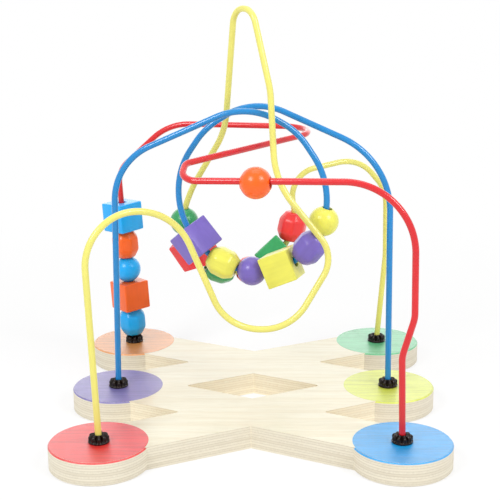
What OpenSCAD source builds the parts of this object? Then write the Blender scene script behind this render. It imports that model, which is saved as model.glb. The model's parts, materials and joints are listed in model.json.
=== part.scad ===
// Bead maze: a plywood base with three bent wires that carry painted wooden beads.
// Millimetres, +Z up, the front towards -Y, origin under the middle of the base.

/* [Board] */
// Distance between the left and right lobes
lobe_span = 223; // [205:1:240]
// Distance from one row of lobes to the next
row_pitch = 112.5; // [105:0.5:120]
// Diameter of a lobe
lobe_d = 75; // [68:1:82]
// Width of the diagonal bars
bar_w = 50; // [44:1:56]
// Thickness of the board
board_t = 18; // [15:0.5:24]
// Size of the eased edges of the lobes
board_ease = 1; // [0.5:0.1:2]
// Radius in the inner corners of the cut-outs
corner_r = 2; // [1:0.1:3]
// Thickness of the paint on the lobes
paint_t = 0.1; // [0.05:0.01:0.3]

/* [Beads] */
// Edge length of a cube
cube_w = 25.4; // [23:0.1:26]
// Radius on the edges of a cube
cube_edge_r = 1.2; // [0.6:0.1:2]
// Diameter of a ball
ball_d = 23.5; // [22:0.1:24.5]
// Length of a ball between the flats round its hole
ball_l = 22; // [20:0.1:22]
// Width of a faceted bead across its flats
facet_w = 23; // [21:0.1:25]
// Length of a faceted bead
facet_l = 25; // [23:0.1:26]
// Width of the flat ends of a faceted bead
facet_end_w = 15; // [13:0.1:17]
// Length of the straight middle of a faceted bead
facet_mid_l = 11; // [9:0.1:13]
// Diameter of the hole through a bead
bore_d = 8; // [7.8:0.1:9]
// Smallest gap between a bead and what it rests on
bead_gap = 0.3; // [0.2:0.05:0.5]

/* [Wires] */
// Diameter of the coated wire
wire_d = 5; // [4.6:0.1:5.2]
// Gap round the wire in the board
hole_play = 0.2; // [0.1:0.05:0.4]
// Height of the wire's end above the underside
end_h = 1.5; // [1:0.1:3]
// Radius of the tightest bends
tight_r = 14; // [12:0.5:16]
// Radius of the close bends
close_r = 25; // [22:0.5:27]
// Radius of the easy bends
easy_r = 38; // [34:0.5:41]
// Radius of the wide bends
wide_r = 50; // [45:0.5:55]
// Radius of the sweeping bends
sweep_r = 65; // [60:0.5:70]

/* [Blue wire] */
// Radius of the hanging loop
blue_loop_r = 61.5; // [59:0.5:64]
// Height of the middle of the loop above the board
blue_loop_h = 160; // [155:0.5:170]
// Angle by which the loop's right side comes forward
blue_loop_turn = 16; // [12:0.5:20]
// Height of the corner at the shoulders above the board
blue_shoulder_h = 189; // [182:1:196]
// Height of the corner at the crests above the board
blue_crest_h = 236; // [232:1:242]

/* [Yellow wire] */
// Height of the front arch above the board
yellow_arch_h = 169; // [160:1:178]
// Height of the bottom of the front loop above the board
yellow_dip_h = 69; // [60:1:80]
// Height of the front loop's right side above the board
yellow_side_h = 123; // [117:1:130]
// Height of the waist of the tall loop above the board
yellow_waist_h = 178; // [172:1:185]
// Height where the tall loop leans in at the front above the board
yellow_lean_h = 246; // [238:1:254]
// Height of the top of the tall loop above the board
yellow_top_h = 306; // [296:1:316]
// Height where the tall loop opens at the back above the board
yellow_flare_h = 208; // [203:1:214]
// Radius of the back loop
yellow_loop_r = 48; // [47:0.5:50]
// Height of the middle of the back loop above the board
yellow_loop_h = 129.5; // [126:0.5:134]
// Angle by which the back loop's right side goes back
yellow_loop_turn = 15; // [10:0.5:20]
// Height of the back arch above the board
yellow_back_h = 174; // [170:1:180]
// Height of the back arch's lower corner above the board
yellow_hip_h = 142; // [135:1:150]
// Height of the bend in the back leg above the board
yellow_leg_h = 82; // [74:1:90]

/* [Red wire] */
// Height of the top of the leaning post above the board
red_post_h = 160; // [156:1:168]
// Height of the back stretch above the board
red_back_h = 203; // [197:1:210]
// Height of the front end of the diagonal above the board
red_diagonal_h = 196; // [192:1:201]
// Height of the left end of the front stretch above the board
red_front_h = 187; // [183:1:193]
// Height of the right shoulder above the board
red_shoulder_h = 193; // [187:1:199]
// Height of the upper bend of the right post above the board
red_knee_h = 95; // [85:1:105]
// Height of the lower bend of the right post above the board
red_shin_h = 66; // [58:1:74]

/* [Collars and fasteners] */
// Diameter of a collar's foot
collar_d = 16; // [14:0.1:18]
// Height of a collar
collar_h = 6.5; // [5:0.1:8]
// Thickness of a collar's foot
collar_foot_t = 1.4; // [1:0.1:2]
// Gap round the wire in a collar
collar_play = 0.6; // [0.5:0.05:0.8]
// How far a collar's crown stands in from its foot
collar_step = 1; // [0.5:0.1:1.5]
// Number of flutes round a collar
collar_flutes = 8; // [6:1:10]
// Depth of the countersink in the top of a collar
collar_mouth_t = 0.8; // [0.5:0.1:1]
// Width of the rim round that countersink
collar_rim_w = 0.7; // [0.5:0.1:1]
// Diameter of a washer
washer_d = 12; // [11:0.1:14]
// Thickness of a washer
washer_t = 1; // [0.8:0.1:1.5]
// Width of a nut across its flats
nut_w = 8; // [7.5:0.1:9]
// Height of a nut
nut_h = 4; // [3:0.1:5]
// Gap round the wire in a nut and a washer
nut_play = 0.1; // [0.05:0.05:0.2]
// Gap round a washer in its recess
recess_play = 1; // [0.5:0.1:2]

/* [Hidden] */
LOBES = ["front_left", "middle_left", "back_left", "front_right", "middle_right", "back_right"];
PAINTS = ["tomato", "mediumpurple", "darkorange", "royalblue", "gold", "mediumseagreen"];
COLLARS = [for (lobe = LOBES) str("collar_", lobe)];
STACK = ["blue_faceted", "orange_cube", "blue_ball", "orange_faceted", "blue_cube"];
BLUE_LOOP = ["purple_cube", "yellow_faceted", "purple_ball", "yellow_cube", "purple_faceted", "yellow_ball"];
BACK_LOOP = ["green_ball", "red_cube", "green_faceted", "red_ball", "green_cube", "red_faceted"];

// Round shapes are cut to this many facets, and large ones to more
$fn = 64;
fine = 128;
// Height of the painted top, where the collars stand
board_top = board_t + paint_t;
// How far a cut runs past the faces that it opens
cut = 1;
// A straight stretch of wire is this much wider all round than a bend, laps over the ends of the bends
// beside it by up to this length, and fills the share of the lap that the bends leave open
lap_t = 0.04;
lap_l = 0.5;
open_share = 0.2;

// A place above the board, in shares of the half span and of the row pitch
function spot(x, y, h) = [x * lobe_span / 2, y * row_pitch, board_top + h];
// The lower end of a wire in the lobe at the same shares
function foot(x, y) = [x * lobe_span / 2, y * row_pitch, end_h];
lobe_at = [for (x = [-1, 1], y = [-1, 0, 1]) [x * lobe_span / 2, y * row_pitch, 0]];

function unit(v) = v / norm(v);
// The sum of the first n values of a list
function sum(list, n) = n == 0 ? 0 : list[n - 1] + sum(list, n - 1);

// A loop hangs in an upright plane, turned about Z. Angles run from its lowest point, positive to the right.
function loop_spot(c, turn, r, a) = c + r * [sin(a) * cos(turn), sin(a) * sin(turn), -cos(a)];
function loop_way(turn, a) = [cos(a) * cos(turn), cos(a) * sin(turn), sin(a)];

// A wire is a list of corners, each with its bend radius. A third value of KEEP marks a radius that stays
// as it is where room is short.
KEEP = true;
// Largest angle between two corners round a loop
loop_step_a = 60;
// The corners of a loop: a straight lead in, the corners round the loop, and a straight lead out
function loop_rows(c, turn, r, arc, leads, lead_rs) =
    let (n = ceil(abs(arc[1] - arc[0]) / loop_step_a), step = (arc[1] - arc[0]) / n, way = sign(step))
    concat(
        [[loop_spot(c, turn, r, arc[0]) - way * leads[0] * loop_way(turn, arc[0]), lead_rs[0]]],
        [for (i = [0:n - 1]) [loop_spot(c, turn, r / cos(step / 2), arc[0] + step * (i + 1 / 2)), r, KEEP]],
        [[loop_spot(c, turn, r, arc[1]) + way * leads[1] * loop_way(turn, arc[1]), lead_rs[1]]]
    );

blue_c = spot(0, 0, blue_loop_h);
blue_arc = [125, -125];
blue_lead = 22;
blue_rows = concat(
    [[foot(-1, 0), 0], [spot(-1, 0, 0), easy_r], [spot(-0.965, -0.04, blue_shoulder_h), wide_r],
        [spot(-0.02, -0.14, blue_crest_h), wide_r]],
    loop_rows(blue_c, -blue_loop_turn, blue_loop_r, blue_arc, [blue_lead, blue_lead], [wide_r, wide_r]),
    [[spot(0.02, 0.14, blue_crest_h), wide_r], [spot(0.985, 0, blue_shoulder_h), sweep_r],
        [spot(1, 0, 0), easy_r], [foot(1, 0), 0]]
);

back_c = spot(-0.1, 0.52, yellow_loop_h);
back_arc = [-112, 102];
back_leads = [12, 25];
yellow_rows = concat(
    [[foot(-1, -1), 0], [spot(-1, -1, 0), easy_r], [spot(-1.05, -1, yellow_arch_h), easy_r],
        [spot(-0.5, -0.68, yellow_arch_h), wide_r], [spot(-0.16, -0.54, yellow_dip_h), easy_r],
        [spot(0.28, -0.52, yellow_dip_h), easy_r], [spot(0.58, -0.41, yellow_side_h), close_r],
        [spot(0.17, -0.27, yellow_waist_h), sweep_r], [spot(0.14, -0.18, yellow_lean_h), sweep_r],
        [spot(0.02, -0.06, yellow_top_h), tight_r], [spot(-0.11, 0.11, yellow_top_h), tight_r],
        [spot(-0.19, 0.24, yellow_flare_h), sweep_r]],
    loop_rows(back_c, yellow_loop_turn, yellow_loop_r, back_arc, back_leads, [easy_r, close_r]),
    [[spot(0.82, 0.83, yellow_back_h), easy_r], [spot(1.05, 0.96, yellow_hip_h), easy_r],
        [spot(1.06, 1, yellow_leg_h), sweep_r], [spot(1, 1, 0), easy_r], [foot(1, 1), 0]]
);

// The leaning post that carries the stack, and the front stretch that carries the single ball
post_base = spot(-1, 1, 0);
post_top = spot(-1.08, 1, red_post_h);
front_a = spot(-0.45, -0.63, red_front_h);
front_b = spot(1.05, -0.98, red_shoulder_h);
red_rows = [
    [foot(-1, 1), 0], [post_base, easy_r], [post_top, close_r],
    [spot(-0.66, 0.92, red_back_h), wide_r], [spot(0.63, 0.68, red_back_h), close_r],
    [spot(-0.43, -0.45, red_diagonal_h), tight_r], [front_a, tight_r],
    [front_b, wide_r], [spot(1.06, -1, red_knee_h), close_r],
    [spot(0.985, -1, red_shin_h), close_r], [spot(1, -1, 0), easy_r], [foot(1, -1), 0]
];

// Angle turned at corner i, and the length that a bend takes from each side of it
function turn_at(rows, i) =
    acos(max(-1, min(1, unit(rows[i][0] - rows[i - 1][0]) * unit(rows[i + 1][0] - rows[i][0]))));
function full_trim(rows, i) =
    (i == 0 || i == len(rows) - 1) ? 0 : rows[i][1] * tan(turn_at(rows, i) / 2);
// Share of the wanted bend at corner i that fits on its side towards corner k
function room(rows, i, k) =
    let (length = norm(rows[k][0] - rows[i][0]), own = full_trim(rows, i), other = full_trim(rows, k))
    rows[k][2] == KEEP ? (length - other) / own : length / (own + other);
function fit(rows, i) =
    (i == 0 || i == len(rows) - 1) ? 0
    : rows[i][2] == KEEP ? 1
    : min(1, room(rows, i, i - 1), room(rows, i, i + 1));
function trim_at(rows, i) = full_trim(rows, i) * fit(rows, i);
// How far a straight stretch laps over the bend at corner i
function lap_at(rows, i) = min(lap_l, trim_at(rows, i) / 2);

module placed(x, y, z, o) {
    multmatrix([[x[0], y[0], z[0], o[0]], [x[1], y[1], z[1], o[1]], [x[2], y[2], z[2], o[2]], [0, 0, 0, 1]])
        children();
}

// Places its children with Z along a direction
module along(z, o) {
    aside = abs(z[2]) < 0.9 ? [0, 0, 1] : [1, 0, 0];
    x = unit(cross(aside, z));
    placed(x, cross(z, x), z, o) children();
}

module wire_straight(rows, i) {
    way = unit(rows[i + 1][0] - rows[i][0]);
    a = rows[i][0] + way * trim_at(rows, i);
    b = rows[i + 1][0] - way * trim_at(rows, i + 1);
    along(way, a - way * lap_at(rows, i))
        cylinder(d = wire_d + 2 * lap_t, h = (b - a) * way + lap_at(rows, i) + lap_at(rows, i + 1));
}

module wire_bend(rows, i) {
    u = unit(rows[i][0] - rows[i - 1][0]);
    v = unit(rows[i + 1][0] - rows[i][0]);
    axis = unit(cross(u, v));
    inward = cross(axis, u);
    r = rows[i][1] * fit(rows, i);
    open_a = lap_at(rows, i) * open_share / r * 180 / PI;
    placed(-inward, u, axis, rows[i][0] - u * trim_at(rows, i) + inward * r)
        rotate([0, 0, open_a])
            rotate_extrude(angle = turn_at(rows, i) - 2 * open_a, $fn = fine)
                translate([r, 0])
                    circle(d = wire_d);
}

module bent_wire(rows) {
    for (i = [0:len(rows) - 2]) wire_straight(rows, i);
    for (i = [1:len(rows) - 2]) wire_bend(rows, i);
}

module yellow_wire() { color("khaki") bent_wire(yellow_rows); }
module blue_wire() { color("dodgerblue") bent_wire(blue_rows); }
module red_wire() { color("crimson") bent_wire(red_rows); }

// Board
lobe_r = lobe_d / 2;
recess_d = washer_d + 2 * recess_play;
recess_h = end_h + nut_h + washer_t;
bars = [[0, 4], [1, 3], [1, 5], [2, 4]];

module lobe() {
    rotate_extrude($fn = fine)
        polygon([[0, 0], [lobe_r - board_ease, 0], [lobe_r, board_ease], [lobe_r, board_t - board_ease],
            [lobe_r - board_ease, board_t], [0, board_t]]);
}

module bar(a, b) {
    way = b - a;
    translate(a)
        rotate([0, 0, atan2(way[1], way[0])])
            translate([0, -bar_w / 2, 0])
                cube([norm(way), bar_w, board_t]);
}

// Rounds an inner corner between two upright faces that lie at half_a on both sides of the X axis
module corner_round(at, heading, half_a) {
    overlap = 1;
    bite = 0.15;
    reach = corner_r / sin(half_a);
    side = corner_r / tan(half_a);
    tip = [side * cos(half_a) - overlap * sin(half_a), side * sin(half_a) + overlap * cos(half_a)];
    translate(at)
        rotate([0, 0, heading])
            linear_extrude(board_t)
                difference() {
                    polygon([[-overlap, 0], [tip[0], -tip[1]], [reach, 0], [tip[0], tip[1]]]);
                    translate([reach, 0]) circle(r = corner_r + bite);
                }
}

// Angle of the bars to the X axis, and how far from a crossing their faces meet
bar_a = atan2(row_pitch, lobe_span);
tip_x = bar_w / 2 / sin(bar_a);
tip_y = bar_w / 2 / cos(bar_a);

module inner_corners() {
    for (side = [-1, 1], row = [-1, 1]) {
        crossing = [0, row * row_pitch / 2];
        // Side notches
        corner_round(crossing + [side * tip_x, 0], side > 0 ? 0 : 180, bar_a);
    }
    for (row = [-1, 1]) {
        crossing = [0, row * row_pitch / 2];
        // The front and back V, and the diamond's corners nearest to them
        corner_round(crossing + [0, row * tip_y], 90 * row, 90 - bar_a);
        corner_round(crossing - [0, row * tip_y], -90 * row, 90 - bar_a);
    }
    for (side = [-1, 1]) {
        // The diamond's left and right corners
        corner_round([side * (lobe_span / 2 - tip_x), 0], side > 0 ? 180 : 0, bar_a);
    }
}

module base_board() {
    difference() {
        union() {
            color("wheat") {
                for (at = lobe_at) translate(at) lobe();
                for (pair = bars) bar(lobe_at[pair[0]], lobe_at[pair[1]]);
                inner_corners();
            }
            for (i = [0:len(LOBES) - 1])
                color(PAINTS[i])
                    translate([lobe_at[i][0], lobe_at[i][1], board_t / 2])
                        cylinder(r = lobe_r - board_ease, h = board_top - board_t / 2, $fn = fine);
        }
        for (at = lobe_at)
            translate(at) {
                translate([0, 0, -cut]) cylinder(d = wire_d + 2 * hole_play, h = board_top + 2 * cut);
                translate([0, 0, -cut]) cylinder(d = recess_d, h = recess_h + cut);
            }
    }
}

// Collar with a round foot and a crown of flutes that lean in to the wire
collar_bore_r = wire_d / 2 + collar_play;
crown_r = collar_d / 2 - collar_step;
crown_top_r = collar_bore_r + collar_mouth_t + collar_rim_w;
// The crown is straight up to its shoulder, then rounds in to its brow and the rim
shoulder_h = 0.55 * collar_h;
brow_h = 0.9 * collar_h;
brow_r = crown_top_r + 0.8;
// Each flute fills this share of its place round the crown, and leans in by this angle
flute_fill = 0.8;
flute_lean = 14;
flute_d = 2 * crown_r * sin(180 / collar_flutes) * flute_fill;

module crown_limit() {
    rotate_extrude()
        polygon([[0, collar_foot_t / 2], [crown_r, collar_foot_t / 2], [crown_r, shoulder_h],
            [brow_r, brow_h], [crown_top_r, collar_h], [0, collar_h]]);
}

module collar() {
    difference() {
        union() {
            cylinder(d = collar_d, h = collar_foot_t);
            intersection() {
                union() {
                    cylinder(r1 = crown_r - collar_step, r2 = crown_top_r, h = collar_h);
                    for (i = [0:collar_flutes - 1])
                        rotate([0, 0, i * 360 / collar_flutes])
                            translate([crown_r - flute_d / 2, 0, 0])
                                rotate([0, -flute_lean, 0])
                                    cylinder(d = flute_d, h = 2 * collar_h);
                }
                crown_limit();
            }
        }
        translate([0, 0, -cut]) cylinder(r = collar_bore_r, h = collar_h + 2 * cut);
        translate([0, 0, collar_h - collar_mouth_t])
            cylinder(r1 = collar_bore_r, r2 = collar_bore_r + 2 * collar_mouth_t, h = 2 * collar_mouth_t);
    }
}

module washers() {
    color("silver")
        for (at = lobe_at)
            translate(at + [0, 0, end_h + nut_h])
                difference() {
                    cylinder(d = washer_d, h = washer_t);
                    translate([0, 0, -cut]) cylinder(d = wire_d + 2 * nut_play, h = washer_t + 2 * cut);
                }
}

module nuts() {
    color("silver")
        for (at = lobe_at)
            translate(at + [0, 0, end_h])
                difference() {
                    cylinder(d = nut_w / cos(30), h = nut_h, $fn = 6);
                    translate([0, 0, -cut]) cylinder(d = wire_d + 2 * nut_play, h = nut_h + 2 * cut);
                }
}

// Beads, each with its middle at the origin and its hole along Z
module bore() {
    cylinder(d = bore_d, h = 2 * cube_w, center = true);
}

module rounded_square(w, r) {
    square([w - 2 * r, w], center = true);
    square([w, w - 2 * r], center = true);
    for (x = [-1, 1], y = [-1, 1]) translate([x, y] * (w / 2 - r)) circle(r = r);
}

module bead_cube() {
    difference() {
        intersection_for (turn = [[0, 0, 0], [90, 0, 0], [0, 90, 0]])
            rotate(turn)
                linear_extrude(cube_w + 2 * cut, center = true)
                    rounded_square(cube_w, cube_edge_r);
        bore();
    }
}

module bead_ball() {
    difference() {
        intersection() {
            sphere(d = ball_d, $fn = fine);
            cylinder(d = 2 * ball_d, h = ball_l, center = true);
        }
        bore();
    }
}

// Number of flat sides round a faceted bead
FACETS = 8;

module bead_faceted() {
    x = facet_w / 2;
    end_x = facet_end_w / 2;
    y = facet_mid_l / 2;
    end_y = facet_l / 2;
    difference() {
        intersection_for (i = [0:FACETS / 2 - 1])
            rotate([0, 0, i * 360 / FACETS])
                rotate([90, 0, 0])
                    linear_extrude(2 * facet_w, center = true)
                        polygon([[x, -y], [x, y], [end_x, end_y], [-end_x, end_y], [-x, y], [-x, -y],
                            [-end_x, -end_y], [end_x, -end_y]]);
        bore();
    }
}

CUBE = 0;
BALL = 1;
FACETED = 2;

module bead(kind, paint) {
    color(paint) {
        if (kind == CUBE) bead_cube();
        if (kind == BALL) bead_ball();
        if (kind == FACETED) bead_faceted();
    }
}

function bead_l(kind) = [cube_w, ball_l, facet_l][kind];

// Angle between a ball and the flat end of its neighbour on a loop, and between a cube and a faceted bead
function ball_step(kind, r) = asin((bead_l(kind) / 2 + ball_d / 2 + bead_gap) / r);
function flat_step(r) =
    let (inner = r - facet_end_w / 2 / cos(180 / FACETS), half = facet_l / 2)
    atan2(half, inner) + asin((cube_w / 2 + bead_gap) / norm([inner, half]));
function bead_step(a, b, r) = a == BALL ? ball_step(b, r) : (b == BALL ? ball_step(a, r) : flat_step(r));
// Angle of bead i, with the bead in place still at a given angle
function loop_angle(kinds, r, still, still_a, i) =
    let (steps = [for (k = [0:len(kinds) - 2]) bead_step(kinds[k], kinds[k + 1], ride_r(FACETED, r))])
    still_a + sum(steps, i) - sum(steps, still);
// A bead rides nearer the middle of its loop where the bent wire touches the ends of its hole
function ride_r(kind, r) =
    min(r, sqrt(pow(r - wire_d / 2, 2) - pow(bead_l(kind) / 2, 2)) + bore_d / 2 - bead_gap);

module on_loop(c, turn, r, a, roll) {
    out = loop_spot(c, turn, 1, a) - c;
    way = loop_way(turn, a);
    placed(out, cross(way, out), way, c + r * out) rotate([0, 0, roll]) children();
}

blue_kinds = [CUBE, FACETED, BALL, CUBE, FACETED, BALL];
blue_paints = ["mediumpurple", "gold", "mediumpurple", "gold", "mediumpurple", "gold"];
blue_rolls = [45, 0, 0, 4, 15, 0];
// The ball that sets where the row of beads hangs, and its angle
blue_still = 2;
blue_still_a = 0;

module blue_loop_bead(i) {
    kind = blue_kinds[i];
    a = loop_angle(blue_kinds, blue_loop_r, blue_still, blue_still_a, i);
    on_loop(blue_c, -blue_loop_turn, ride_r(kind, blue_loop_r), a, blue_rolls[i]) bead(kind, blue_paints[i]);
}

back_kinds = [BALL, CUBE, FACETED, BALL, CUBE, FACETED];
back_paints = ["seagreen", "red", "seagreen", "red", "seagreen", "red"];
back_rolls = [0, 45, 10, 0, 0, 10];
back_still = 3;
back_still_a = 9;

module back_loop_bead(i) {
    kind = back_kinds[i];
    a = loop_angle(back_kinds, yellow_loop_r, back_still, back_still_a, i);
    on_loop(back_c, yellow_loop_turn, ride_r(kind, yellow_loop_r), a, back_rolls[i])
        bead(kind, back_paints[i]);
}

stack_kinds = [FACETED, CUBE, BALL, FACETED, CUBE];
stack_paints = ["dodgerblue", "darkorange", "dodgerblue", "darkorange", "dodgerblue"];
stack_rolls = [10, 40, 0, 10, 48];
post_way = unit(post_top - post_base);
// The lowest bead leans with the post, so its low side clears the collar by the gap
stack_h = collar_h + bead_gap + collar_d / 2 * tan(acos(post_way[2]));

module stack_bead(i) {
    lengths = [for (kind = stack_kinds) bead_l(kind) + bead_gap];
    h = stack_h + sum(lengths, i) + bead_l(stack_kinds[i]) / 2;
    along(post_way, post_base + post_way * h)
        rotate([0, 0, stack_rolls[i]])
            bead(stack_kinds[i], stack_paints[i]);
}

front_way = unit(front_b - front_a);
// Share of the front stretch at which the ball hangs
front_share = 0.33;
hang = bore_d / 2 - wire_d / 2 - bead_gap;

module orange_ball() {
    down = unit(cross(cross(front_way, [0, 0, 1]), front_way));
    along(front_way, front_a + (front_b - front_a) * front_share - down * hang) bead(BALL, "darkorange");
}

base_board();
yellow_wire();
blue_wire();
red_wire();
for (i = [0:len(COLLARS) - 1])
    color("black") translate(lobe_at[i] + [0, 0, board_top]) collar();
washers();
nuts();
for (i = [0:len(STACK) - 1]) stack_bead(i);
orange_ball();
for (i = [0:len(BLUE_LOOP) - 1]) blue_loop_bead(i);
for (i = [0:len(BACK_LOOP) - 1]) back_loop_bead(i);
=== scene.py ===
"""A bead maze: painted wooden beads on bent, coated wires that rise from a plywood base."""
import json
import math

import bmesh
import bpy
from mathutils import Matrix, Vector


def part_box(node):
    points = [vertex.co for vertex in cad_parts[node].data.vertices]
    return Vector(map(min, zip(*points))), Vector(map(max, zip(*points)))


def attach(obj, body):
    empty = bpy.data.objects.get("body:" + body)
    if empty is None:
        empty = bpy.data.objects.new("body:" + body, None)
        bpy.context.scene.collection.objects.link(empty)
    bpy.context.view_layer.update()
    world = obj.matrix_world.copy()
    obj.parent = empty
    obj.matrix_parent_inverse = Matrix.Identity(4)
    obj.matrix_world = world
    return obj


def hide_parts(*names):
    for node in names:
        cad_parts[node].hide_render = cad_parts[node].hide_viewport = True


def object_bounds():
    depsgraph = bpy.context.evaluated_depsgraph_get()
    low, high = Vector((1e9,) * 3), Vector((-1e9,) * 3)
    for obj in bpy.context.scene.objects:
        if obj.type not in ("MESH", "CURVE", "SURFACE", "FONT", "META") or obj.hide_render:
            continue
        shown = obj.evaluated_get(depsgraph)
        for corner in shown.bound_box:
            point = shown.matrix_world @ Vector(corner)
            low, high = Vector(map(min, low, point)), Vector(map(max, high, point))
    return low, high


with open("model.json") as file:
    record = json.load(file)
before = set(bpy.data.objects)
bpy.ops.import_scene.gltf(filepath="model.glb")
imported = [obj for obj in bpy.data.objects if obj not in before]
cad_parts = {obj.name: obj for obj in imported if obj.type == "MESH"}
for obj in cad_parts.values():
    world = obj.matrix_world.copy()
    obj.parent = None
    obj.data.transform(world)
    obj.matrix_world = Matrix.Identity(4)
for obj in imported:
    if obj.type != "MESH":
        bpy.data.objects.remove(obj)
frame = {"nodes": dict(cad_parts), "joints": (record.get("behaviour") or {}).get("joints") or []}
cad_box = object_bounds()
NODES = frame["nodes"]
JOINTS = {joint["child"]: joint for joint in frame["joints"]}
MM = 0.001
WHITE = (1, 1, 1, 1)

# Camera, from the photograph's view: angles in degrees, places in metres
CAMERA_YAW = -1.31
CAMERA_PITCH = 14.74
CAMERA_ROLL = -0.52
CAMERA_TARGET = Vector((-0.0014, 0, 0.1341))
CAMERA_DISTANCE = 0.9324
CAMERA_LENS = 83.585

# Layout of the base and wires, in millimetres as in the part's source
HALF_SPAN = 111.5
ROW_PITCH = 112.5
SIDES = {"left": -HALF_SPAN, "right": HALF_SPAN}
ROWS = {"front": -ROW_PITCH, "middle": 0, "back": ROW_PITCH}

# A direction with a larger share of Z than this counts as upright
UPRIGHT = 0.9

# Base: a stain covers a lobe's top and eased rim; edges whose middle is within CUT_OUT_Y are paler, as
# painted light
BOARD_T = 18 * MM
PLY_COUNT = 9
LOBE_R = 37.5 * MM
LOBE_SLACK = 0.1 * MM
LOBE_EASED = 16.9 * MM
RIM_TILT = 0.15
CUT_OUT_Y = 92 * MM
LOBE_PAINTS = {
    ("left", "front"): (238, 48, 44),
    ("left", "middle"): (130, 121, 188),
    # The back-left stain is paler than its own orange: partly the stain, partly painted reflection of the
    # white surroundings
    ("left", "back"): (246, 166, 94),
    ("right", "front"): (0, 165, 238),
    ("right", "middle"): (226, 236, 84),
    ("right", "back"): (110, 212, 152),
}

# Beads: each one's turn about its wire is in degrees
CUBE_W = 25.4 * MM
CUBE_EDGE = 1.1 * MM
BALL_D = 23.5 * MM
BALL_L = 22 * MM
BALL_STEPS = 40
FACET_W = 23 * MM
FACET_L = 25 * MM
FACET_END_W = 15 * MM
FACET_MID_L = 11 * MM
FACET_EDGE = 1.5 * MM
FACETS = 8
BORE_D = 8 * MM
BORE_EASE = 0.7 * MM
ROUND_STEPS = 64
TURNS = {
    "blue_faceted": 10, "orange_cube": 40, "orange_faceted": 10, "blue_cube": 48,
    "purple_cube": 28, "yellow_cube": -3, "purple_faceted": 15,
    "red_cube": 45, "green_faceted": 10, "green_cube": -20, "red_faceted": 10,
}
BEAD_PAINTS = {
    "blue": (0, 176, 254), "orange": (254, 100, 2), "purple": (121, 102, 192),
    "yellow": (237, 234, 94), "green": (48, 162, 94), "red": (246, 54, 54),
}

# Wires: sizes and bend radii in millimetres, steps round bends and loops in degrees
BOARD_TOP = 18.1
WIRE_END = 1.5
WIRE_R = 2.5
WIRE_SIDES = 28
TIGHT, CLOSE, EASY, WIDE, SWEEP = 14, 25, 38, 50, 65
BEND_STEP = 3
LOOP_STEP = 60
SAME_POINT = 0.01
WIRE_PAINTS = {"yellow": (232, 225, 114), "blue": (0, 131, 200), "red": (216, 22, 30)}

# Collars: the outline goes from the foot up and over the crown, in shares of the radius and the height,
# and its third number says how far the grooves between the petals shape that row. The mouth's rows have
# their distance from the bore in place of a share of the radius.
COLLAR_PETALS = 9
COLLAR_STEPS = 160
COLLAR_BORE = 3.1 * MM
COLLAR_OUTLINE = (
    (0.96, 0, 0), (1, 0.05, 0), (1, 0.16, 0), (0.97, 0.21, 0.3), (0.96, 0.3, 1), (0.98, 0.55, 1),
    (0.97, 0.68, 1), (0.92, 0.79, 1), (0.84, 0.87, 1), (0.72, 0.93, 1), (0.6, 0.97, 0.9), (0.48, 1, 0.6),
)
COLLAR_MOUTH = ((0.5 * MM, 0.99, 0.2), (0, 0.93, 0))
GROOVE_DEPTH = 0.24
GROOVE_SINK = 0.36
CROWN_FROM = 0.6

# Light and floor, in metres and watts: each lamp has a place, a width, a height and a power
SKY_LIGHT = 0.51
LAMP_AIM = Vector((0, 0, 0.12))
LAMPS = {
    "left_softbox": ((-0.75, -0.85, 1.0), 0.5, 0.5, 8.5),
    "right_softbox": ((0.85, -0.7, 1.0), 0.5, 0.5, 7.5),
    "top_softbox": ((0, 0.2, 1.5), 0.9, 0.9, 3.4),
    "back_softbox": ((0, 2.6, 1.0), 4.5, 1.6, 17),
}
FLOOR_R = 6
FLOOR_GAP = 0.2 * MM
FLOOR_TONE = (0.95, 0.95, 0.95, 1)
FLOOR_SHOWN_WHITE = 0.7
FLOOR_FADE_FROM = 0.2
FLOOR_FADE_TO = 0.7


def srgb(red, green, blue):
    """A display colour, 0 to 255, as the linear values that shaders take."""
    def linear(value):
        value /= 255
        return value / 12.92 if value <= 0.04045 else ((value + 0.055) / 1.055) ** 2.4
    return (linear(red), linear(green), linear(blue), 1)


def shade(colour, factor):
    """A linear colour made darker or lighter."""
    return tuple(min(1, channel * factor) for channel in colour[:3]) + (1,)


def feed(tree, node, inputs):
    """Sets a node's inputs, or links those whose value is another node's output."""
    for key, value in inputs.items():
        if isinstance(value, bpy.types.NodeSocket):
            tree.links.new(value, node.inputs[key])
        else:
            node.inputs[key].default_value = value


def add_node(tree, kind, inputs=None, **settings):
    node = tree.nodes.new("ShaderNode" + kind)
    for key, value in settings.items():
        setattr(node, key, value)
    feed(tree, node, inputs or {})
    return node


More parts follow.
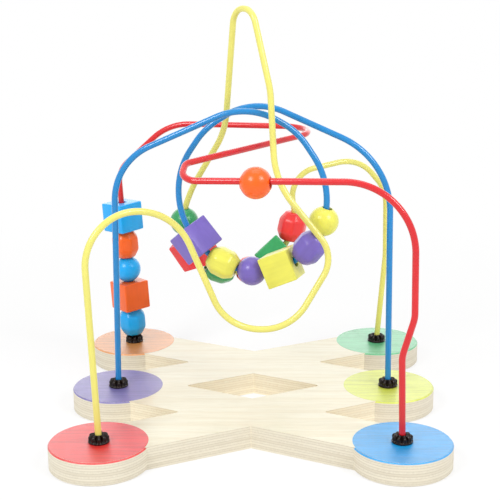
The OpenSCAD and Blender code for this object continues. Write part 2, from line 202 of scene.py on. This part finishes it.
class Look:
    """A material whose nodes are added one at a time."""

    def __init__(self, name, **sockets):
        self.material = bpy.data.materials.new(name)
        self.material.use_nodes = True
        self.tree = self.material.node_tree
        self.surface = self.tree.nodes["Principled BSDF"]
        feed(self.tree, self.surface, {key.replace("_", " ").title().replace("Ior", "IOR"): value
                                       for key, value in sockets.items()})

    def add(self, kind, inputs=None, **settings):
        return add_node(self.tree, kind, inputs, **settings)

    def place(self):
        """The object's own coordinates."""
        return self.add("TexCoord").outputs["Object"]

    def noise(self, scale, detail=3, roughness=0.55, distortion=0):
        """Noise over the object's own coordinates, stretched by a scale along each axis."""
        stretched = self.add("Mapping", {"Vector": self.place(), "Scale": scale}).outputs["Vector"]
        return self.add("TexNoise", {"Vector": stretched, "Scale": 1, "Detail": detail,
                                     "Roughness": roughness, "Distortion": distortion}).outputs["Fac"]

    def ramp(self, fac, stops):
        node = self.add("ValToRGB", {"Fac": fac})
        elements = node.color_ramp.elements
        while len(elements) < len(stops):
            elements.new(1)
        for element, (position, colour) in zip(elements, stops):
            element.position = position
            element.color = colour
        return node.outputs["Color"]

    def mix(self, fac, first, second, blend="MIX"):
        node = self.add("Mix", data_type="RGBA", blend_type=blend)
        shown = {socket.name: index for index, socket in enumerate(node.inputs) if socket.enabled}
        feed(self.tree, node, {shown["Factor"]: fac, shown["A"]: first, shown["B"]: second})
        return next(socket for socket in node.outputs if socket.enabled)

    def math(self, operation, first, second=0):
        return self.add("Math", {0: first, 1: second}, operation=operation).outputs["Value"]

    def bump(self, height, strength, distance):
        node = self.add("Bump", {"Height": height, "Strength": strength, "Distance": distance})
        normal = node.outputs["Normal"]
        feed(self.tree, self.surface, {"Normal": normal, "Coat Normal": normal})

    def colour(self, socket):
        feed(self.tree, self.surface, {"Base Color": socket})

    def clouded(self, scale, detail, low, high):
        """Uneven colour between two tones. Returns the noise behind it."""
        cloud = self.noise((scale, scale, scale), detail)
        self.colour(self.ramp(cloud, [(0.3, low), (0.7, high)]))
        return cloud


def grain_look(look, pale, dark, along=7, across=150):
    """Birch grain along X, as broad bands with fine pores over them. Returns the colour and the pores."""
    bands = look.noise((along, across, across), detail=5, roughness=0.6, distortion=0.4)
    pores = look.noise((along * 8, across * 9, across * 9), detail=4, roughness=0.7)
    colour = look.ramp(bands, [(0.3, dark), (0.62, pale)])
    fine = look.ramp(pores, [(0.32, (0.86, 0.84, 0.8, 1)), (0.55, WHITE)])
    return look.mix(0.8, colour, fine, "MULTIPLY"), pores


def veneer_look():
    look = Look("birch_veneer", roughness=0.34, specular_ior_level=0.5,
                coat_weight=0.5, coat_roughness=0.2)
    colour, pores = grain_look(look, srgb(231, 226, 202), srgb(221, 211, 179))
    look.colour(colour)
    look.bump(pores, 0.12, 0.0003)
    return look.material


def ply_edge_look(name, pale, dark, glue_tone):
    """Plies across the thickness, each with its own tone, and a dark glue line between them."""
    look = Look(name, roughness=0.55, specular_ior_level=0.4)
    pale, dark = srgb(*pale), srgb(*dark)
    height = look.add("SeparateXYZ", {"Vector": look.place()}).outputs["Z"]
    waver = look.math("MULTIPLY", look.noise((16, 16, 40), detail=2), 0.35)
    wavy = look.math("ADD", look.math("MULTIPLY", height, PLY_COUNT / BOARD_T), waver)
    ply = look.math("FLOOR", wavy)
    odd = look.math("MODULO", ply, 2)
    within = look.math("FRACT", wavy)
    chance = look.add("TexWhiteNoise", {"W": ply}, noise_dimensions="1D").outputs["Value"]
    own_tone = look.ramp(chance, [(0.0, (0.92, 0.91, 0.89, 1)), (0.6, WHITE)])
    streaks = look.noise((30, 30, 1600), detail=4, roughness=0.65)
    specks = look.noise((620, 620, 420), detail=3, roughness=0.7)
    long_grain = look.ramp(streaks, [(0.32, dark), (0.62, pale)])
    end_grain = look.ramp(specks, [(0.3, shade(dark, 0.97)), (0.66, shade(pale, 0.98))])
    colour = look.mix(1.0, look.mix(odd, long_grain, end_grain), own_tone, "MULTIPLY")
    glue = look.ramp(within, [(0.0, glue_tone), (0.12, WHITE), (0.96, WHITE), (1.0, glue_tone)])
    look.colour(look.mix(0.85, colour, glue, "MULTIPLY"))
    look.bump(look.math("ADD", streaks, specks), 0.15, 0.0003)
    return look.material


def lobe_paint_look(name, paint):
    """A stain with the grain showing through, under gloss lacquer."""
    look = Look(name, roughness=0.4, specular_ior_level=0.4,
                coat_weight=1, coat_roughness=0.13, coat_ior=1.6)
    pale = srgb(*paint)
    colour, pores = grain_look(look, pale, shade(pale, 0.74), along=20, across=330)
    look.colour(colour)
    look.bump(pores, 0.45, 0.0006)
    return look.material


def bead_paint_look(name, paint):
    """Paint on turned wood: slightly uneven colour, with the grain showing along the hole."""
    look = Look(name, roughness=0.34, specular_ior_level=0.25, coat_weight=0.6, coat_roughness=0.22)
    base = srgb(*paint)
    cloud = look.noise((90, 90, 60), detail=2)
    grain = look.noise((520, 520, 45), detail=4, roughness=0.6)
    tone = look.ramp(cloud, [(0.3, shade(base, 0.93)), (0.7, shade(base, 1.04))])
    rubbed = look.ramp(grain, [(0.3, (0.93, 0.93, 0.93, 1)), (0.6, WHITE)])
    look.colour(look.mix(0.7, tone, rubbed, "MULTIPLY"))
    look.bump(grain, 0.1, 0.0002)
    return look.material


def wire_coat_look(name, paint):
    """Thick gloss coating, a little uneven along the wire."""
    look = Look(name, roughness=0.24, specular_ior_level=0.3, coat_weight=0.7, coat_roughness=0.14)
    base = srgb(*paint)
    look.clouded(55, 1, shade(base, 0.96), shade(base, 1.02))
    return look.material


def black_plastic_look():
    look = Look("black_plastic", roughness=0.12, specular_ior_level=0.25)
    cloud = look.clouded(400, 2, srgb(14, 7, 4), srgb(34, 19, 12))
    look.bump(cloud, 0.1, 0.0002)
    return look.material


def zinc_look():
    look = Look("zinc_plate", roughness=0.34, metallic=1)
    cloud = look.clouded(700, 3, srgb(172, 174, 176), srgb(208, 210, 212))
    look.bump(cloud, 0.15, 0.0002)
    return look.material


def dress(obj, *materials):
    obj.data.materials.clear()
    for material in materials:
        obj.data.materials.append(material)


def smooth(mesh, angle=35):
    """Shades a mesh smooth, apart from edges sharper than an angle in degrees."""
    mesh.shade_smooth()
    mesh.set_sharp_from_angle(angle=math.radians(angle))


def lobe_at(point):
    """The side and the row of the lobe that a point of the board lies in, or None."""
    for side, row in LOBE_PAINTS:
        if math.hypot(point.x - SIDES[side] * MM, point.y - ROWS[row] * MM) < LOBE_R + LOBE_SLACK:
            return side, row
    return None


def dress_board():
    """Veneer above and below, plies on the edges, a paler copy of the plies on the cut-out walls as painted
    light, and a stain on each lobe.
    """
    board = NODES["base_board"]
    looks = {
        "veneer": veneer_look(),
        "edge": ply_edge_look("ply_edge", (233, 226, 207), (222, 213, 192), (0.52, 0.46, 0.39, 1)),
        # The cut-out walls get a paler, lit copy of the ply edge: painted light, not a different wood
        "cut_out": ply_edge_look("ply_cut_out_painted_lit", (250, 242, 218), (243, 230, 202), (0.62, 0.52, 0.41, 1)),
    }
    for (side, row), paint in LOBE_PAINTS.items():
        looks[side, row] = lobe_paint_look(f"stain_{row}_{side}", paint)
    dress(board, *looks.values())
    order = list(looks)
    for face in board.data.polygons:
        lobe = lobe_at(face.center)
        if lobe and face.center.z > LOBE_EASED and face.normal.z > RIM_TILT:
            kind = lobe
        elif abs(face.normal.z) > UPRIGHT:
            kind = "veneer"
        elif lobe or abs(face.center.y) > CUT_OUT_Y:
            kind = "edge"
        else:
            # Painted light: the cut-out walls take the paler, lit copy of the plies
            kind = "cut_out"
        face.material_index = order.index(kind)


def dress_hardware():
    zinc = zinc_look()
    for name in ("washers", "nuts"):
        dress(NODES[name], zinc)


def mesh_object(name, builder):
    mesh = bpy.data.meshes.new(name)
    builder.to_mesh(mesh)
    builder.free()
    obj = bpy.data.objects.new(name, mesh)
    bpy.context.scene.collection.objects.link(obj)
    return obj


def full_turn(steps):
    """Angles at equal steps round a circle, in radians."""
    return [2 * math.pi * step / steps for step in range(steps)]


def circle(radius, height, steps, start=0):
    """Points round the Z axis, the first of them at an angle in radians."""
    return [(radius * math.cos(start + angle), radius * math.sin(start + angle), height)
            for angle in full_turn(steps)]


def shell(rings, hoop=False):
    """A closed mesh over rings of points, which is bent round to a hoop or capped at both ends."""
    builder = bmesh.new()
    rings = [[builder.verts.new(point) for point in ring] for ring in rings]
    pairs = list(zip(rings, rings[1:]))
    if hoop:
        pairs.append((rings[-1], rings[0]))
    for here, after in pairs:
        for step in range(len(here)):
            then = (step + 1) % len(here)
            builder.faces.new((here[step], here[then], after[then], after[step]))
    if not hoop:
        builder.faces.new(rings[0])
        builder.faces.new(rings[-1])
    bmesh.ops.recalc_face_normals(builder, faces=builder.faces)
    return builder


def lathe(profile, hoop=False):
    """A turned form from (radius, height) points, as a hoop or as a solid with flat ends."""
    return shell([circle(radius, height, ROUND_STEPS) for radius, height in profile], hoop)


def soften(builder, width, segments):
    """Rounds every edge of a mesh."""
    bmesh.ops.bevel(builder, geom=builder.edges[:], offset=width, segments=segments,
                    profile=0.5, affect="EDGES")


def bore_profile(half_length):
    """The wall of the hole, eased at both mouths, from the bottom up."""
    inner = BORE_D / 2
    return [(inner + BORE_EASE, -half_length), (inner, BORE_EASE - half_length),
            (inner, half_length - BORE_EASE), (inner + BORE_EASE, half_length)]


def drilled(name, builder, half_length):
    """A solid with the hole cut through it along Z."""
    solid = mesh_object(name, builder)
    past = 1 * MM
    mouth = BORE_D / 2 + BORE_EASE + past
    wall = [(mouth, -half_length - past)] + bore_profile(half_length) + [(mouth, half_length + past)]
    cutter = mesh_object(name + "_hole", lathe(wall))
    cut = solid.modifiers.new("hole", "BOOLEAN")
    cut.object = cutter
    cut.operation = "DIFFERENCE"
    cut.solver = "EXACT"
    depsgraph = bpy.context.evaluated_depsgraph_get()
    finished = bpy.data.meshes.new_from_object(solid.evaluated_get(depsgraph))
    solid.modifiers.clear()
    solid.data = finished
    bpy.data.objects.remove(cutter)
    return solid


def ball_bead(name):
    top = math.asin(BALL_L / BALL_D)
    arc = []
    for step in range(BALL_STEPS + 1):
        angle = top * (1 - 2 * step / BALL_STEPS)
        arc.append((BALL_D / 2 * math.cos(angle), BALL_D / 2 * math.sin(angle)))
    return mesh_object(name, lathe(bore_profile(BALL_L / 2) + arc, hoop=True))


def cube_bead(name):
    builder = bmesh.new()
    bmesh.ops.create_cube(builder, size=CUBE_W)
    soften(builder, CUBE_EDGE, segments=4)
    return drilled(name, builder, CUBE_W / 2)


def faceted_bead(name):
    """Eight flat sides, each with a sloping flat at both ends, with softened edges."""
    corner = 1 / math.cos(math.pi / FACETS)
    outline = ((FACET_END_W, -FACET_L), (FACET_W, -FACET_MID_L),
               (FACET_W, FACET_MID_L), (FACET_END_W, FACET_L))
    builder = shell([circle(width / 2 * corner, length / 2, FACETS, math.pi / FACETS)
                     for width, length in outline])
    soften(builder, FACET_EDGE, segments=3)
    return drilled(name, builder, FACET_L / 2)


def bead_matrix(node):
    """Where a bead sits: its hole along Z, turned about it, with X as the part's source has it."""
    joint = JOINTS[node]
    axis = Vector(joint["axis"]).normalized()
    low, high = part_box(node)
    centre = (low + high) / 2
    if joint["type"] == "hinge":
        side = (centre - Vector(joint["pos_m"])).normalized()
        way = axis.cross(side)
    else:
        way = axis
        aside = Vector((0, 0, 1)) if abs(way.z) < UPRIGHT else Vector((1, 0, 0))
        side = aside.cross(way).normalized()
    place = Matrix((side, way.cross(side), way)).transposed().to_4x4()
    place.translation = centre
    return place @ Matrix.Rotation(math.radians(TURNS.get(node, 0)), 4, "Z")


def make_beads():
    makers = {"cube": cube_bead, "ball": ball_bead, "faceted": faceted_bead}
    looks = {name: bead_paint_look(name + "_paint", paint) for name, paint in BEAD_PAINTS.items()}
    shapes = {}
    for node in JOINTS:
        paint, kind = node.split("_")
        if kind not in shapes:
            bead = makers[kind](node + "_bead")
            shapes[kind] = bead.data.copy()
        else:
            bead = bpy.data.objects.new(node + "_bead", shapes[kind].copy())
            bpy.context.scene.collection.objects.link(bead)
        dress(bead, looks[paint])
        smooth(bead.data)
        bead.matrix_world = bead_matrix(node)
        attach(bead, node)
        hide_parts(node)


def above(across, back, height):
    """A place above the board, in shares of the half span and of the row pitch."""
    return Vector((across * HALF_SPAN, back * ROW_PITCH, BOARD_TOP + height))


def foot(across, back):
    return Vector((across * HALF_SPAN, back * ROW_PITCH, WIRE_END))


def loop_rows(centre, turn, radius, arc, leads, lead_radii):
    """The corners of a hanging loop: a lead in, corners that keep the loop's radius, and a lead out."""
    turn = math.radians(turn)

    def place(reach, angle):
        angle = math.radians(angle)
        return centre + reach * Vector((math.sin(angle) * math.cos(turn), math.sin(angle) * math.sin(turn),
                                        -math.cos(angle)))

    def way(angle):
        angle = math.radians(angle)
        return Vector((math.cos(angle) * math.cos(turn), math.cos(angle) * math.sin(turn), math.sin(angle)))

    start, stop = arc
    count = math.ceil(abs(stop - start) / LOOP_STEP)
    step = (stop - start) / count
    sense = math.copysign(1, step)
    reach = radius / math.cos(math.radians(step / 2))
    rows = [(place(radius, start) - sense * leads[0] * way(start), lead_radii[0], False)]
    for index in range(count):
        rows.append((place(reach, start + step * (index + 0.5)), radius, True))
    rows.append((place(radius, stop) + sense * leads[1] * way(stop), lead_radii[1], False))
    return rows


def wire_rows():
    """Each wire as corners with a bend radius, and whether that radius is kept where room is short."""
    def plain(*rows):
        return [(place, radius, False) for place, radius in rows]

    blue = plain((foot(-1, 0), 0), (above(-1, 0, 0), EASY), (above(-0.965, -0.04, 189), WIDE),
                 (above(-0.02, -0.14, 236), WIDE))
    blue += loop_rows(above(0, 0, 160), -16, 61.5, (125, -125), (22, 22), (WIDE, WIDE))
    blue += plain((above(0.02, 0.14, 236), WIDE), (above(0.985, 0, 189), SWEEP), (above(1, 0, 0), EASY),
                  (foot(1, 0), 0))

    yellow = plain((foot(-1, -1), 0), (above(-1, -1, 0), EASY), (above(-1.05, -1, 169), EASY),
                   (above(-0.5, -0.68, 169), WIDE), (above(-0.16, -0.54, 69), EASY),
                   (above(0.28, -0.52, 69), EASY), (above(0.58, -0.41, 123), CLOSE),
                   (above(0.17, -0.27, 178), SWEEP), (above(0.14, -0.18, 246), SWEEP),
                   (above(0.02, -0.06, 306), TIGHT), (above(-0.11, 0.11, 306), TIGHT),
                   (above(-0.19, 0.24, 208), SWEEP))
    yellow += loop_rows(above(-0.1, 0.52, 129.5), 15, 48, (-112, 102), (12, 25), (EASY, CLOSE))
    yellow += plain((above(0.82, 0.83, 174), EASY), (above(1.05, 0.96, 142), EASY),
                    (above(1.06, 1, 82), SWEEP), (above(1, 1, 0), EASY), (foot(1, 1), 0))

    red = plain((foot(-1, 1), 0), (above(-1, 1, 0), EASY), (above(-1.08, 1, 160), CLOSE),
                (above(-0.66, 0.92, 203), WIDE), (above(0.63, 0.68, 203), CLOSE),
                (above(-0.43, -0.45, 196), TIGHT), (above(-0.45, -0.63, 187), TIGHT),
                (above(1.05, -0.98, 193), WIDE), (above(1.06, -1, 95), CLOSE),
                (above(0.985, -1, 66), CLOSE), (above(1, -1, 0), EASY), (foot(1, -1), 0))
    return {"blue": blue, "yellow": yellow, "red": red}


def wire_path(rows):
    """Points along a wire: its two ends, and close steps round each bend."""
    last = len(rows) - 1
    ways = [(rows[i + 1][0] - rows[i][0]).normalized() for i in range(last)]

    def turn(i):
        return ways[i - 1].angle(ways[i])

    def full_trim(i):
        return 0 if i in (0, last) else rows[i][1] * math.tan(turn(i) / 2)

    def room(i, k):
        length = (rows[k][0] - rows[i][0]).length
        if rows[k][2]:
            return (length - full_trim(k)) / full_trim(i)
        return length / (full_trim(i) + full_trim(k))

    points = [rows[0][0]]
    for i in range(1, last):
        share = 1 if rows[i][2] else min(1, room(i, i - 1), room(i, i + 1))
        radius = rows[i][1] * share
        axis = ways[i - 1].cross(ways[i]).normalized()
        inward = axis.cross(ways[i - 1])
        start = rows[i][0] - ways[i - 1] * full_trim(i) * share
        centre = start + inward * radius
        steps = max(2, math.ceil(math.degrees(turn(i)) / BEND_STEP))
        for step in range(steps + 1):
            angle = turn(i) * step / steps
            point = centre + radius * (ways[i - 1] * math.sin(angle) - inward * math.cos(angle))
            if (point - points[-1]).length > SAME_POINT:
                points.append(point)
    points.append(rows[last][0])
    return points


def tube(points):
    """A round bar swept along points, without twist."""
    ways = [(after - here).normalized() for here, after in zip(points, points[1:])]
    side = ways[0].orthogonal().normalized()
    rings = []
    for index, point in enumerate(points):
        if index in (0, len(points) - 1):
            way = ways[min(index, len(ways) - 1)]
        else:
            way = (ways[index - 1] + ways[index]).normalized()
        side = (side - way * side.dot(way)).normalized()
        other = way.cross(side)
        rings.append([(point + WIRE_R * (side * math.cos(angle) + other * math.sin(angle))) * MM
                      for angle in full_turn(WIRE_SIDES)])
    return shell(rings)


def make_wires():
    for paint, rows in wire_rows().items():
        wire = mesh_object(paint + "_wire_tube", tube(wire_path(rows)))
        dress(wire, wire_coat_look(paint + "_coating", WIRE_PAINTS[paint]))
        smooth(wire.data, angle=45)
        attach(wire, "maze")
        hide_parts(paint + "_wire")


def collar_mesh(outer, height):
    """A moulded ring with a plain foot and a crown of rounded petals that closes on the wire."""
    rows = [(COLLAR_BORE, 0, 0)]
    rows += [(outer * reach, height * up, share) for reach, up, share in COLLAR_OUTLINE]
    rows += [(COLLAR_BORE + lip, height * up, share) for lip, up, share in COLLAR_MOUTH]
    rings = []
    for radius, up, share in rows:
        ring = []
        for angle in full_turn(COLLAR_STEPS):
            groove = share * (1 - abs(math.cos(COLLAR_PETALS * angle / 2)))
            reach = radius * (1 - GROOVE_DEPTH * groove)
            sink = height * GROOVE_SINK * groove if up > height * CROWN_FROM else 0
            ring.append((reach * math.cos(angle), reach * math.sin(angle), up - sink))
        rings.append(ring)
    return shell(rings, hoop=True)


def make_collars():
    plastic = black_plastic_look()
    for node in [name for name in NODES if name.startswith("collar_")]:
        low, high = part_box(node)
        collar = mesh_object(node + "_moulding", collar_mesh((high.x - low.x) / 2, high.z - low.z))
        dress(collar, plastic)
        smooth(collar.data, angle=50)
        collar.location = ((low.x + high.x) / 2, (low.y + high.y) / 2, low.z)
        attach(collar, "maze")
        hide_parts(node)


def make_camera():
    yaw, pitch, roll = (math.radians(angle) for angle in (CAMERA_YAW, CAMERA_PITCH, CAMERA_ROLL))
    ahead = Vector((math.sin(yaw) * math.cos(pitch), math.cos(yaw) * math.cos(pitch), -math.sin(pitch)))
    right = Vector((math.cos(yaw), -math.sin(yaw), 0))
    up = right.cross(ahead)
    turned_right = right * math.cos(roll) + up * math.sin(roll)
    turned_up = up * math.cos(roll) - right * math.sin(roll)
    camera = bpy.data.objects.new("camera", bpy.data.cameras.new("camera"))
    camera.data.lens = CAMERA_LENS
    camera.matrix_world = Matrix((turned_right, turned_up, -ahead)).transposed().to_4x4()
    camera.location = CAMERA_TARGET - ahead * CAMERA_DISTANCE
    bpy.context.scene.collection.objects.link(camera)
    bpy.context.scene.camera = camera


def seen_directly(tree):
    """1 for rays from the camera and for those that a glossy or clear surface sends on."""
    path = add_node(tree, "LightPath").outputs
    seen = path["Is Camera Ray"]
    for name in ("Is Glossy Ray", "Is Transmission Ray"):
        seen = add_node(tree, "Math", {0: seen, 1: path[name]}, operation="MAXIMUM").outputs["Value"]
    return seen


def make_sky():
    """White where it is seen, and softer where it lights the object."""
    world = bpy.data.worlds.new("studio")
    bpy.context.scene.world = world
    world.use_nodes = True
    tree = world.node_tree
    strength = add_node(tree, "MapRange", {"Value": seen_directly(tree), "To Min": SKY_LIGHT, "To Max": 1})
    feed(tree, tree.nodes["Background"], {"Color": WHITE, "Strength": strength.outputs["Result"]})


def make_floor():
    """A matte floor that keeps the object's shadow, and fades to white away from it."""
    builder = bmesh.new()
    bmesh.ops.create_circle(builder, cap_ends=True, radius=FLOOR_R, segments=96)
    floor = mesh_object("floor", builder)
    floor.location.z = cad_box[0].z - FLOOR_GAP
    look = bpy.data.materials.new("white_floor")
    look.use_nodes = True
    tree = look.node_tree
    tree.nodes.remove(tree.nodes["Principled BSDF"])
    place = add_node(tree, "NewGeometry").outputs["Position"]
    reach = add_node(tree, "VectorMath", {0: place}, operation="LENGTH").outputs["Value"]
    fade = add_node(tree, "MapRange", {"Value": reach, "To Min": FLOOR_SHOWN_WHITE, "To Max": 1,
                                       "From Min": FLOOR_FADE_FROM, "From Max": FLOOR_FADE_TO},
                    interpolation_type="SMOOTHSTEP").outputs["Result"]
    share = add_node(tree, "Math", {0: seen_directly(tree), 1: fade}, operation="MULTIPLY").outputs["Value"]
    matte = add_node(tree, "BsdfDiffuse", {"Color": FLOOR_TONE}).outputs["BSDF"]
    glow = add_node(tree, "Emission").outputs["Emission"]
    both = add_node(tree, "MixShader", {"Fac": share, 1: matte, 2: glow}).outputs["Shader"]
    feed(tree, tree.nodes["Material Output"], {"Surface": both})
    floor.data.materials.append(look)


def make_lamp(name, place, width, height, watts):
    lamp = bpy.data.lights.new(name, "AREA")
    lamp.shape = "RECTANGLE"
    lamp.size = width
    lamp.size_y = height
    lamp.energy = watts
    obj = bpy.data.objects.new(name, lamp)
    obj.location = place
    obj.rotation_euler = (LAMP_AIM - Vector(place)).to_track_quat("-Z", "Y").to_euler()
    obj.visible_camera = False
    bpy.context.scene.collection.objects.link(obj)


make_camera()
make_sky()
make_floor()
for lamp_name, lamp_settings in LAMPS.items():
    make_lamp(lamp_name, *lamp_settings)
bpy.context.scene.view_settings.view_transform = "Standard"

dress_board()
dress_hardware()
make_wires()
make_collars()
make_beads()
